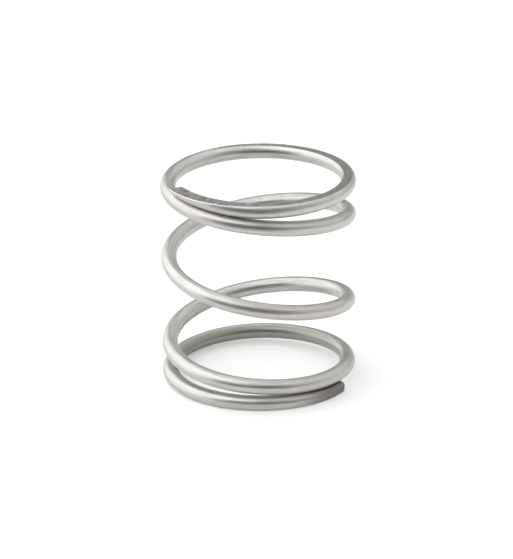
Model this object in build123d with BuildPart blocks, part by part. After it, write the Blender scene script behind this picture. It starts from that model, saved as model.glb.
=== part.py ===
from build123d import *
import os
from math import cos, radians, sin

# Valve spring: one left-hand coil of round wire with closed and ground ends.
# It stands on its bottom ground face, with its axis on Z and the origin in that face.
# Lengths are in mm and angles in degrees.

# Coil
wire_diameter = 2.0
mean_diameter = 23.1
free_length = 27.7
total_turns = 4.35
bottom_tip_angle = -28.6  # where the wire starts, from +X about Z

# Bottom end: from its tip on the turn eases into a slow closing pitch, then into the open pitch
closing_ramp_angle = 455
closing_share = 0.345  # of the open pitch
opening_angle = 365
opening_ramp_angle = 230

# Top end: the open pitch eases into a level turn
top_level_angle = 165
top_ramp_angle = 430

# Ground faces: what is left between each face and the centre of the level wire
bottom_cover = 0.8
top_cover = 0.8

# Tips: each comes to rest on the next turn with a hair's gap, bending over a short length
tip_gap = 0.04
tip_bend = 0.3

# Worked-out sizes
mean_radius = mean_diameter / 2
winding_angle = total_turns * 360
contact_pitch = wire_diameter + tip_gap
step_angle = 15


def eased(angle, start, ramp):
    """Angle wound at full pitch, where the pitch grows smoothly over a ramp."""
    share = min(max((angle - start) / ramp, 0), 1)
    return ramp * (share**3 - share**4 / 2) + max(angle - start - ramp, 0)


def open_angle(angle):
    """Angle wound at full pitch between the bottom tip and this angle."""
    slow_part = closing_share * eased(angle, 0, closing_ramp_angle)
    open_part = (1 - closing_share) * eased(angle, opening_angle, opening_ramp_angle)
    top_ramp_start = winding_angle - top_level_angle - top_ramp_angle
    return slow_part + open_part - eased(angle, top_ramp_start, top_ramp_angle)


def smooth_max(first, second, bend):
    """The larger of two heights, rounded where they cross."""
    overlap = max(bend - abs(first - second), 0)
    return max(first, second) + overlap**2 / (4 * bend)


# Open pitch that spans the free length
rise_per_degree = (free_length - bottom_cover - top_cover) / open_angle(winding_angle)
print("open pitch", round(rise_per_degree * 360, 2))


def wound_height(angle):
    """Height of the wire's centre as it leaves the coiling machine."""
    return bottom_cover + rise_per_degree * open_angle(angle)


def wire_height(angle):
    """Height of the wire's centre with both tips resting on their neighbours."""
    height = wound_height(angle)
    if angle < 360:
        under_next = wound_height(angle + 360) - contact_pitch
        height = -smooth_max(-height, -under_next, tip_bend)
    if angle > winding_angle - 360:
        over_last = wound_height(angle - 360) + contact_pitch
        height = smooth_max(height, over_last, tip_bend)
    return height


def wire_centre(angle):
    """Point on the wire's centre line; the wire climbs clockwise seen from above."""
    direction = radians(bottom_tip_angle - angle)
    return (mean_radius * cos(direction), mean_radius * sin(direction), wire_height(angle))


step_count = round(winding_angle / step_angle)
wire_points = [wire_centre(winding_angle * step / step_count) for step in range(step_count + 1)]

# Spring: the wire swept along its centre line, then ground square to the free length
with BuildPart() as spring:
    with BuildLine() as centre_line:
        Spline(*wire_points)
    with BuildSketch(centre_line.line ^ 0):
        Circle(wire_diameter / 2)
    sweep(path=centre_line.line)
    with BuildSketch(Plane.XY):
        Circle(mean_radius + wire_diameter)
    extrude(amount=free_length, mode=Mode.INTERSECT)

spring.part.label = "spring"

os.makedirs("parts", exist_ok=True)
export_step(spring.part, "parts/spring.step")
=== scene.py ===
from math import acos, atan2, cos, hypot, pi, radians, sin, tan

import bmesh
import bpy
from mathutils import Matrix, Vector


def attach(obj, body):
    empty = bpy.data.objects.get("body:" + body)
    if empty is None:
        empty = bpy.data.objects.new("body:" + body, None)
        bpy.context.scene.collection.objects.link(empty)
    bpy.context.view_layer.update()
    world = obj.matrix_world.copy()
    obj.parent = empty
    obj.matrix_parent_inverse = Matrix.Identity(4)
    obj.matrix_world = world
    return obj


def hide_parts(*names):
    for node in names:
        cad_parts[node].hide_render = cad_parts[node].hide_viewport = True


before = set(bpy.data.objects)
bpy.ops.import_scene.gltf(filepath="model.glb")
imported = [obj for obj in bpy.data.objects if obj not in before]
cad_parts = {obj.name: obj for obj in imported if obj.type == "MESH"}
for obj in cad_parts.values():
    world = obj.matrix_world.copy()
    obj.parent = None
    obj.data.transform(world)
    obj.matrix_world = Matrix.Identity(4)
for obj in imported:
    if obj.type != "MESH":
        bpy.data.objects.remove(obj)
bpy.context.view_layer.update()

# Spring wire
# One length of round stainless spring wire, drawn to size and coiled left-hand.
# The coil closes at both ends, where each tip comes to rest on the next turn.
# It is made here as a straight bar first, and then bent round the coil's axis.
mm = 0.001
wire_radius = 1.0 * mm
coil_radius = 11.55 * mm
free_length = 27.7 * mm
winding_angle = 4.35 * 360
bottom_tip_angle = -28.6
closing_ramp_angle = 455
closing_share = 0.345
opening_angle = 365
opening_ramp_angle = 230
top_level_angle = 165
top_ramp_angle = 430
end_cover = 0.8 * mm
contact_pitch = 2 * wire_radius + 0.04 * mm
tip_bend = 0.3 * mm
slope_step = 0.5  # degrees to each side of where the slope is taken
around_count = 96
corner_side = 8
corner_angle = 2 * pi * corner_side / around_count
edge_round = 0.08 * mm
start_dome = 0.06 * mm
finish_dome = 0.26 * mm
dome_rings = 4
pressed_length = 5 * mm
pressed_square = 0.25
hair = 0.001 * mm


def eased(angle, start, ramp):
    """Angle wound at full pitch, where the pitch grows smoothly over a ramp."""
    share = min(max((angle - start) / ramp, 0), 1)
    return ramp * (share**3 - share**4 / 2) + max(angle - start - ramp, 0)


def open_angle(angle):
    """Angle wound at full pitch between the bottom tip and this angle."""
    slow_part = closing_share * eased(angle, 0, closing_ramp_angle)
    open_part = (1 - closing_share) * eased(angle, opening_angle, opening_ramp_angle)
    top_ramp_start = winding_angle - top_level_angle - top_ramp_angle
    return slow_part + open_part - eased(angle, top_ramp_start, top_ramp_angle)


def smooth_max(first, second, bend):
    """The larger of two heights, rounded where they cross."""
    overlap = max(bend - abs(first - second), 0)
    return max(first, second) + overlap**2 / (4 * bend)


def wound_height(angle):
    """Height of the wire's centre as it leaves the coiling machine."""
    return end_cover + rise_per_degree * open_angle(angle)


def wire_height(angle):
    """Height of the wire's centre with both tips resting on their neighbours."""
    height = wound_height(angle)
    if angle < 360:
        under_next = wound_height(angle + 360) - contact_pitch
        height = -smooth_max(-height, -under_next, tip_bend)
    if angle > winding_angle - 360:
        over_last = wound_height(angle - 360) + contact_pitch
        height = smooth_max(height, over_last, tip_bend)
    return height


rise_per_degree = (free_length - 2 * end_cover) / open_angle(winding_angle)


def cut_angle_of(radius, centre_to_plane):
    """Angle from the ground side to where a round section meets the end plane."""
    return acos(min(max(centre_to_plane / radius, -1), 1))


def ground_section(around, radius, centre_to_plane, side):
    """Place in the wire's section of one bar vertex, once a face is ground on it.

    around counts the bar's vertices from the ground side, and side is 1 for the top face.
    The corner vertex sits on the rounded edge between the flat and the round.
    """
    step = around if around <= around_count / 2 else around - around_count
    turned = 1 if step >= 0 else -1
    step = abs(step)
    cut_angle = cut_angle_of(radius, centre_to_plane)
    if cut_angle <= corner_angle:
        angle = 2 * pi * step / around_count
        high = min(radius * cos(angle), centre_to_plane)
        return turned * radius * sin(angle), side * high
    half_flat = radius * sin(cut_angle)
    setback = edge_round * tan(cut_angle / 2)
    first_round = cut_angle + setback / radius
    if step < corner_side:
        across = (half_flat - setback) * step / (corner_side - 1)
        return turned * across, side * centre_to_plane
    if step == corner_side:
        inward = edge_round * (1 / cos(cut_angle / 2) - 1)
        lean = cut_angle / 2
        across = half_flat - inward * sin(lean)
        return turned * across, side * (centre_to_plane - inward * cos(lean))
    round_share = (step - corner_side - 1) / (around_count / 2 - corner_side - 1)
    angle = first_round + (pi - first_round) * round_share
    return turned * radius * sin(angle), side * radius * cos(angle)


def coil_frame(angle):
    """Section axes at an angle of winding: outward, upward and centre."""
    turned = radians(bottom_tip_angle - angle)
    outward = Vector((cos(turned), sin(turned), 0))
    climb = wire_height(angle + slope_step) - wire_height(angle - slope_step)
    slope = climb / radians(2 * slope_step)
    along = Vector((sin(turned) * coil_radius, -cos(turned) * coil_radius, slope)).normalized()
    upward = outward.cross(along)
    if upward.z < 0:
        upward = -upward
    centre = outward * coil_radius + Vector((0, 0, wire_height(angle)))
    return outward, upward, centre


# a few long lengths of bar are drawn first, and each is then divided
length_count = 40
divisions = 16
ring_count = length_count * divisions
bar_length = 2 * pi * coil_radius * winding_angle / 360
drawn_length = bar_length - start_dome - finish_dome
bar_step = drawn_length / ring_count
bar = bmesh.new()
bmesh.ops.create_circle(bar, cap_ends=False, radius=wire_radius, segments=around_count)
bmesh.ops.spin(bar, geom=bar.verts[:] + bar.edges[:], cent=(0, 0, 0), axis=(0, 0, 1),
               dvec=(0, 0, drawn_length / length_count), angle=0, steps=length_count,
               use_merge=False, use_duplicate=False)
bmesh.ops.remove_doubles(bar, verts=bar.verts[:], dist=hair)
lengthwise = [edge for edge in bar.edges
              if abs(edge.verts[0].co.z - edge.verts[1].co.z) > bar_step]
bmesh.ops.subdivide_edges(bar, edges=lengthwise, cuts=divisions - 1, use_grid_fill=True)
bmesh.ops.translate(bar, verts=bar.verts[:], vec=(0, 0, start_dome))

# the start is cut nearly square, and the finish is tumbled to a low dome
for forward, end_dome in ((-1, start_dome), (1, finish_dome)):
    rim = [edge for edge in bar.edges
           if edge.is_boundary and edge.verts[0].co.z * forward > forward * bar_length / 2]
    for ring in range(1, dome_rings + 1):
        turned, before = (pi / 2 * count / (dome_rings + 1) for count in (ring, ring - 1))
        new_radius, old_radius = (wire_radius - end_dome * (1 - cos(turn))
                                  for turn in (turned, before))
        shrink = new_radius / old_radius
        rise = forward * end_dome * (sin(turned) - sin(before))
        grown = bmesh.ops.extrude_edge_only(bar, edges=rim)["geom"]
        ring_verts = [part for part in grown if isinstance(part, bmesh.types.BMVert)]
        rim = [part for part in grown
               if isinstance(part, bmesh.types.BMEdge) and part.is_boundary]
        bmesh.ops.scale(bar, vec=(shrink, shrink, 1), verts=ring_verts)
        bmesh.ops.translate(bar, verts=ring_verts, vec=(0, 0, rise))

# each point keeps its place on the straight bar, for the finish
straight = bar.verts.layers.float_vector.new("straight_wire")
rim_highlight_mark = bar.verts.layers.float.new("ground_rim_highlight")
for vert in bar.verts:
    vert[straight] = vert.co
ends = [edge for edge in bar.edges if edge.is_boundary]
bmesh.ops.holes_fill(bar, edges=ends, sides=0)

# the bar is coiled, and its ends are ground as they come to the two end planes
ring_frames = {}
for vert in bar.verts:
    x, y, along = vert[straight]
    ring = round(along / hair)
    if ring not in ring_frames:
        ring_frames[ring] = coil_frame(winding_angle * along / bar_length)
    outward, upward, centre = ring_frames[ring]
    side = 1 if centre.z > free_length / 2 else -1
    to_plane = (free_length - centre.z if side > 0 else centre.z) / upward.z
    # vertices are counted from the ground side, outward first
    around = round(atan2(x, side * y) / (2 * pi) * around_count) % around_count
    radius = hypot(x, y)
    across, high = ground_section(around, radius, to_plane, side)
    # the shears that cut the wire's start pressed its outer shoulder square
    shoulder = 2 * max(across, 0) * max(high, 0) / radius**2
    pressed = pressed_square * max(1 - along / pressed_length, 0) ** 2 * shoulder**2
    across, high = across * (1 + pressed), high * (1 + pressed)
    vert.co = centre + outward * across + upward * high
    # the corner vertices hold the mask for the painted highlight along the ground edge
    on_corner = around in (corner_side, around_count - corner_side)
    if on_corner and cut_angle_of(radius, to_plane) > corner_angle:
        vert[rim_highlight_mark] = 1
bmesh.ops.recalc_face_normals(bar, faces=bar.faces[:])
if bar.calc_volume(signed=True) < 0:
    bmesh.ops.reverse_faces(bar, faces=bar.faces[:])
for face in bar.faces:
    face.smooth = len(face.verts) == 4

spring_mesh = bpy.data.meshes.new("spring_wire")
bar.to_mesh(spring_mesh)
bar.free()
spring_wire = bpy.data.objects.new("spring_wire", spring_mesh)
bpy.context.scene.collection.objects.link(spring_wire)


# Finish of the wire
# Satin stainless steel with fine draw lines along the wire. The end faces are
# ground flat, so they are greyer and carry the grinding wheel's curved scratches.
# Painted shade darkens the bottom tip and the inside of the lowest turn, and a painted highlight
# lies along the ground edges.
def add_node(tree, kind, **values):
    """A new shader node, with its named sockets and settings given."""
    node = tree.nodes.new(kind)
    for name, value in values.items():
        if name in node.inputs:
            node.inputs[name].default_value = value
        else:
            setattr(node, name, value)
    return node


def math_node(tree, operation, first, second):
    """The result of a sum on two numbers, or on what other nodes put out."""
    node = tree.nodes.new("ShaderNodeMath")
    node.operation = operation
    for socket, value in zip(node.inputs, (first, second)):
        if isinstance(value, (int, float)):
            socket.default_value = value
        else:
            tree.links.new(value, socket)
    return node.outputs[0]


def inverse(tree, value):
    """1 minus a share."""
    return math_node(tree, "SUBTRACT", 1.0, value)


def mixed(tree, kind, factor, first, second):
    """First where the factor is 0, and second where it is 1."""
    node = tree.nodes.new("ShaderNodeMix")
    node.data_type = kind
    sockets = [socket for socket in node.inputs if socket.enabled]
    for socket, value in zip(sockets, (factor, first, second)):
        if isinstance(value, (int, float, tuple)):
            socket.default_value = value
        else:
            tree.links.new(value, socket)
    return next(socket for socket in node.outputs if socket.enabled)


def eased_range(tree, value, start, full):
    """0 before start and 1 past full, with soft ends."""
    node = add_node(tree, "ShaderNodeMapRange", interpolation_type="SMOOTHSTEP")
    tree.links.new(value, node.inputs["Value"])
    node.inputs["From Min"].default_value = start
    node.inputs["From Max"].default_value = full
    return node.outputs[0]


def noise_at(tree, place, scale, detail, roughness):
    """Noise read at a place."""
    noise = add_node(tree, "ShaderNodeTexNoise", Scale=scale, Detail=detail, Roughness=roughness)
    tree.links.new(place, noise.inputs["Vector"])
    return noise.outputs[0]


wire_steel = bpy.data.materials.new("satin_spring_steel")
wire_steel.use_nodes = True
steel = wire_steel.node_tree
steel.nodes.clear()
output = add_node(steel, "ShaderNodeOutputMaterial")
surface = add_node(steel, "ShaderNodeBsdfPrincipled", Metallic=1.0)
steel.links.new(surface.outputs[0], output.inputs[0])

# draw lines run along the wire, read from each point's place on the straight bar
drawn = add_node(steel, "ShaderNodeAttribute", attribute_name="straight_wire")


def drawn_noise(across_scale, along_scale, detail, slant=0):
    """Streaks along the bar, or slanted ones on its outer and inner sides."""
    stretch = add_node(steel, "ShaderNodeMapping", vector_type="TEXTURE")
    stretch.inputs["Rotation"].default_value = (radians(slant), 0, 0)
    streak_size = (1 / across_scale, 1 / across_scale, 1 / along_scale)
    stretch.inputs["Scale"].default_value = streak_size
    steel.links.new(drawn.outputs["Vector"], stretch.inputs["Vector"])
    return noise_at(steel, stretch.outputs[0], scale=1.0, detail=detail, roughness=0.6)


fine_lines = drawn_noise(across_scale=6400, along_scale=400, detail=3.0)
wide_clouds = drawn_noise(across_scale=700, along_scale=110, detail=2.0)
long_streaks = drawn_noise(across_scale=3200, along_scale=90, detail=2.0)
wide_tints = drawn_noise(across_scale=450, along_scale=75, detail=1.0)
slanted_rubs = drawn_noise(across_scale=4200, along_scale=380, detail=1.5, slant=38)
draw_lines = eased_range(steel, fine_lines, start=0.30, full=0.70)
cloud = eased_range(steel, wide_clouds, start=0.25, full=0.75)
streaks = eased_range(steel, long_streaks, start=0.30, full=0.70)
tint = eased_range(steel, wide_tints, start=0.35, full=0.65)
rubs = eased_range(steel, slanted_rubs, start=0.50, full=0.72)

# grinding scratches are arcs about the wheel's axis, far to one side
from_wheel_axis = (0.045, -0.014, 0)
scratches_per_metre = 3600.0
scratches_per_turn = 30.0
place = add_node(steel, "ShaderNodeTexCoord")
wheel = add_node(steel, "ShaderNodeMapping")
wheel.inputs["Location"].default_value = from_wheel_axis
steel.links.new(place.outputs["Object"], wheel.inputs["Vector"])
from_wheel = add_node(steel, "ShaderNodeSeparateXYZ")
steel.links.new(wheel.outputs[0], from_wheel.inputs[0])
across_wheel, along_wheel = from_wheel.outputs[0], from_wheel.outputs[1]
radius_squared = math_node(steel, "ADD",
                           math_node(steel, "MULTIPLY", across_wheel, across_wheel),
                           math_node(steel, "MULTIPLY", along_wheel, along_wheel))
wheel_radius = math_node(steel, "SQRT", radius_squared, 0.0)
wheel_turn = math_node(steel, "ARCTAN2", along_wheel, across_wheel)
scratch_place = add_node(steel, "ShaderNodeCombineXYZ")
for socket, measure, scale in ((0, wheel_radius, scratches_per_metre),
                               (1, wheel_turn, scratches_per_turn)):
    steel.links.new(math_node(steel, "MULTIPLY", measure, scale), scratch_place.inputs[socket])
scratch_noise = noise_at(steel, scratch_place.outputs[0], scale=1.0, detail=2.0, roughness=0.55)
scratches = eased_range(steel, scratch_noise, start=0.36, full=0.64)

# on the other side the wheel's grit has left a fine speckle instead
speckle_noise = noise_at(steel, place.outputs["Object"], scale=6500.0, detail=3.0, roughness=0.75)
speckle = eased_range(steel, speckle_noise, start=0.33, full=0.67)
spot = add_node(steel, "ShaderNodeSeparateXYZ")
steel.links.new(place.outputs["Object"], spot.inputs[0])
coarse_side = eased_range(steel, spot.outputs[0], start=-1 * mm, full=8 * mm)

# the ground faces are the points that lie in the two end planes
skin = 0.012 * mm
at_top = math_node(steel, "GREATER_THAN", spot.outputs[2], free_length - skin)
at_bottom = math_node(steel, "LESS_THAN", spot.outputs[2], skin)
ground = math_node(steel, "MAXIMUM", at_top, at_bottom)
ground_rim_highlight = add_node(steel, "ShaderNodeAttribute", attribute_name="ground_rim_highlight")
rim_highlight_share = eased_range(steel, ground_rim_highlight.outputs["Fac"], start=0.0, full=0.55)

# grinding warms the thin tips, which are left duller, and the top tip pinker; the bottom tip's
# darker, browner colour is painted shade, where the turn above shades it
bar_place = add_node(steel, "ShaderNodeSeparateXYZ")
steel.links.new(drawn.outputs["Vector"], bar_place.inputs[0])
outward_bar, along_bar = bar_place.outputs[0], bar_place.outputs[2]


def along_range(start, full):
    """0 before one place along the bar and 1 past another, in mm from its start."""
    return eased_range(steel, along_bar, start * mm, full * mm)


bar_end = bar_length / mm
# painted shade on the bottom tip, under the turn above
near_start = inverse(steel, along_range(2.5, 9.0))
near_end = along_range(bar_end - 11, bar_end - 3)
# the painted highlight on the ground edge grows brighter towards the top end
rim_highlight_end = along_range(bar_end - 24, bar_end - 10)
rubbed = math_node(steel, "MULTIPLY", rubs, along_range(bar_end - 6, bar_end - 2))
# painted shade on the inside of the lowest turn, which the turns above shade
lowest_turn = inverse(steel, along_range(50, 75))
inward_bar = math_node(steel, "MULTIPLY", outward_bar, -1.0)
inner_side = eased_range(steel, inward_bar, start=0.0, full=0.8 * mm)
lowest_inside = math_node(steel, "MULTIPLY", lowest_turn, inner_side)
start_mark = inverse(steel, along_range(9, 20))
before_front_end = inverse(steel, along_range(154, 165))
front_mark = math_node(steel, "MULTIPLY", along_range(140, 150), before_front_end)
marks = math_node(steel, "MAXIMUM", start_mark, front_mark)

# colours of the steel, and the share of the place that each one takes
line_dark, line_bright = (0.47, 0.465, 0.443, 1), (0.80, 0.793, 0.755, 1)
streak_dark, streak_bright = (0.59, 0.579, 0.548, 1), (0.67, 0.664, 0.631, 1)
tint_warm, tint_cool = (0.65, 0.618, 0.588, 1), (0.605, 0.612, 0.583, 1)
# painted shade for the bottom tip, over its draw lines
start_shade_dark, start_shade_bright = (0.185, 0.172, 0.166, 1), (0.33, 0.308, 0.297, 1)
scratch_dark, scratch_bright = (0.33, 0.328, 0.318, 1), (0.51, 0.508, 0.492, 1)
speckle_dark, speckle_bright = (0.10, 0.099, 0.096, 1), (0.62, 0.616, 0.60, 1)
# painted highlight for the broken ground edges
rim_highlight_dim, rim_highlight_full = (0.72, 0.715, 0.69, 1), (0.97, 0.965, 0.95, 1)
# painted shade inside the lowest turn, in a brown tint
inner_shade_steel = (0.33, 0.318, 0.285, 1)
pink_steel = (0.60, 0.553, 0.522, 1)
warm_steel = (0.605, 0.56, 0.532, 1)
rubbed_steel = (0.82, 0.80, 0.77, 1)
streak_share = 0.4
tint_share = math_node(steel, "MULTIPLY", cloud, 0.5)
inner_shade_share = math_node(steel, "MULTIPLY", lowest_inside, 0.8)
pink_share = math_node(steel, "MULTIPLY", near_end, 0.7)
warm_share = math_node(steel, "MULTIPLY", marks, 0.38)

# the wire's own finish, from its draw lines to the marks on it, with painted shade on the bottom
# tip and inside the lowest turn
drawn_colour = mixed(steel, "RGBA", draw_lines, line_dark, line_bright)
streak_colour = mixed(steel, "RGBA", streaks, streak_dark, streak_bright)
tint_colour = mixed(steel, "RGBA", tint, tint_warm, tint_cool)
start_shade_colour = mixed(steel, "RGBA", draw_lines, start_shade_dark, start_shade_bright)
wire_colour = mixed(steel, "RGBA", streak_share, drawn_colour, streak_colour)
for share, colour in ((tint_share, tint_colour), (inner_shade_share, inner_shade_steel),
                      (pink_share, pink_steel), (warm_share, warm_steel),
                      (near_start, start_shade_colour), (rubbed, rubbed_steel)):
    wire_colour = mixed(steel, "RGBA", share, wire_colour, colour)

# the ground faces, and the edges that are broken round them, which carry a painted highlight
scratch_colour = mixed(steel, "RGBA", scratches, scratch_dark, scratch_bright)
speckle_colour = mixed(steel, "RGBA", speckle, speckle_dark, speckle_bright)
ground_colour = mixed(steel, "RGBA", coarse_side, scratch_colour, speckle_colour)
rim_highlight_colour = mixed(steel, "RGBA", rim_highlight_end, rim_highlight_dim, rim_highlight_full)
faced_colour = mixed(steel, "RGBA", ground, wire_colour, ground_colour)
steel.links.new(mixed(steel, "RGBA", rim_highlight_share, faced_colour, rim_highlight_colour),
                surface.inputs["Base Color"])

line_smooth, line_rough, cloud_rough, start_rough = 0.31, 0.38, 0.40, 0.46
scratch_smooth, scratch_rough = 0.42, 0.56
wire_rough = mixed(steel, "FLOAT", draw_lines, line_smooth, line_rough)
wire_rough = mixed(steel, "FLOAT", cloud, wire_rough, cloud_rough)
wire_rough = mixed(steel, "FLOAT", near_start, wire_rough, start_rough)
ground_rough = mixed(steel, "FLOAT", scratches, scratch_smooth, scratch_rough)
steel.links.new(mixed(steel, "FLOAT", ground, wire_rough, ground_rough),
                surface.inputs["Roughness"])
relief = add_node(steel, "ShaderNodeBump", Strength=0.35, Distance=0.02 * mm)
steel.links.new(mixed(steel, "FLOAT", ground, draw_lines, scratches), relief.inputs["Height"])
steel.links.new(relief.outputs[0], surface.inputs["Normal"])
spring_mesh.materials.append(wire_steel)

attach(spring_wire, "root")
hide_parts("spring")

# Camera
# A long lens a little above the spring, which stands right of the middle of the picture.
# Its distance, height and shift are counted in mean radii of the coil.
picture_height = 559
pixels_per_radius = 89.2943
radii_away = 38
elevation = radians(21.3516)
tilt = radians(-0.3333)
sight_distance = radii_away * coil_radius
sight_height = 1.2 * coil_radius
aside = -0.0234 * coil_radius
raised = -0.0514 * coil_radius
right = Vector((1, 0, 0))
up = Vector((0, sin(elevation), cos(elevation)))
back = Vector((0, -cos(elevation), sin(elevation)))
camera_data = bpy.data.cameras.new("camera")
camera_data.sensor_fit = "VERTICAL"
camera_data.sensor_height = 24
camera_data.lens = pixels_per_radius * radii_away / picture_height * camera_data.sensor_height
camera_data.clip_start = 0.01
camera_data.clip_end = 10
camera = bpy.data.objects.new("camera", camera_data)
camera_right = right * cos(tilt) + up * sin(tilt)
camera_up = up * cos(tilt) - right * sin(tilt)
camera_spot = Vector((0, 0, sight_height)) + back * sight_distance + right * aside + up * raised
camera_turn = Matrix((camera_right, camera_up, back)).transposed().to_4x4()
camera.matrix_world = Matrix.Translation(camera_spot) @ camera_turn
bpy.context.scene.collection.objects.link(camera)
bpy.context.scene.camera = camera

# Table and studio light
# A white table that keeps a soft shadow, in a plain studio: a bright wall on the left, a
# soft lamp high behind on the right, a dim ceiling, and a dark place for the camera.
table_half_width = 3.0
table_drop = 0.02 * mm  # the table lies a hair below the spring's ground face
table_colour = (0.8, 0.8, 0.8, 1)
camera_glow, mirror_glow = 0.32, 0.15
floor_mesh = bpy.data.meshes.new("table")
floor_build = bmesh.new()
bmesh.ops.create_grid(floor_build, x_segments=1, y_segments=1, size=table_half_width)
bmesh.ops.translate(floor_build, verts=floor_build.verts[:], vec=(0, 0, -table_drop))
floor_build.to_mesh(floor_mesh)
floor_build.free()
floor = bpy.data.objects.new("table", floor_mesh)
bpy.context.scene.collection.objects.link(floor)
table_white = bpy.data.materials.new("table_white")
table_white.use_nodes = True
white = table_white.node_tree
white.nodes.clear()
white_output = add_node(white, "ShaderNodeOutputMaterial")
paper = add_node(white, "ShaderNodeBsdfDiffuse", Color=table_colour)
glow = add_node(white, "ShaderNodeEmission", Color=(1, 1, 1, 1))
rays = add_node(white, "ShaderNodeLightPath")
seen = math_node(white, "MULTIPLY", rays.outputs["Is Camera Ray"], camera_glow)
mirrored = math_node(white, "MULTIPLY", rays.outputs["Is Glossy Ray"], mirror_glow)
white.links.new(math_node(white, "ADD", seen, mirrored), glow.inputs["Strength"])
both = add_node(white, "ShaderNodeAddShader")
white.links.new(paper.outputs[0], both.inputs[0])
white.links.new(glow.outputs[0], both.inputs[1])

# reflections find the table dark where the camera and its stand shade it
stand_place = (-0.04, -0.20, 0)
shade_full, shade_ends = 0.12, 0.165
shade_colour = (0.12, 0.12, 0.12, 1)
floor_place = add_node(white, "ShaderNodeTexCoord")
from_stand = add_node(white, "ShaderNodeVectorMath", operation="DISTANCE")
white.links.new(floor_place.outputs["Object"], from_stand.inputs[0])
from_stand.inputs[1].default_value = stand_place
open_table = eased_range(white, from_stand.outputs["Value"], start=shade_full, full=shade_ends)
shaded = math_node(white, "MULTIPLY", inverse(white, open_table), rays.outputs["Is Glossy Ray"])
shade = add_node(white, "ShaderNodeBsdfDiffuse", Color=shade_colour)
table_top = add_node(white, "ShaderNodeMixShader")
white.links.new(shaded, table_top.inputs[0])
white.links.new(both.outputs[0], table_top.inputs[1])
white.links.new(shade.outputs[0], table_top.inputs[2])
white.links.new(table_top.outputs[0], white_output.inputs[0])
floor_mesh.materials.append(table_white)

world = bpy.data.worlds.new("studio")
bpy.context.scene.world = world
world.use_nodes = True
studio = world.node_tree
studio.nodes.clear()
studio_output = add_node(studio, "ShaderNodeOutputWorld")
room = add_node(studio, "ShaderNodeBackground", Color=(1, 1, 1, 1))
studio.links.new(room.outputs[0], studio_output.inputs[0])
toward = add_node(studio, "ShaderNodeTexCoord")


def studio_light(azimuth, height, starts, full, strength):
    """A soft-edged share of the studio's light, counted from the front towards the right.

    It starts at one cosine of the angle from its middle and is full at another.
    """
    turn, rise = radians(azimuth), radians(height)
    middle = (sin(turn) * cos(rise), -cos(turn) * cos(rise), sin(rise))
    nearness = add_node(studio, "ShaderNodeVectorMath", operation="DOT_PRODUCT")
    studio.links.new(toward.outputs["Generated"], nearness.inputs[0])
    nearness.inputs[1].default_value = middle
    light = eased_range(studio, nearness.outputs["Value"], starts, full)
    return math_node(studio, "MULTIPLY", light, strength)


left_wall = studio_light(azimuth=-81, height=11, starts=0.146, full=0.461, strength=1.24)
ceiling = studio_light(azimuth=0, height=90, starts=0.654, full=0.866, strength=0.19)
back_lamp = studio_light(azimuth=114, height=54, starts=0.518, full=0.818, strength=0.535)
camera_place = studio_light(azimuth=-12, height=-14, starts=0.53, full=0.70, strength=1.0)
lit = 0.31  # the room's own light, from all round
for light in (left_wall, ceiling, back_lamp):
    lit = math_node(studio, "ADD", light, lit)
dimmed = math_node(studio, "MULTIPLY", lit, inverse(studio, camera_place))
sight = add_node(studio, "ShaderNodeLightPath")
studio.links.new(math_node(studio, "MAXIMUM", dimmed, sight.outputs["Is Camera Ray"]),
                 room.inputs["Strength"])

bpy.context.scene.view_settings.view_transform = "Standard"
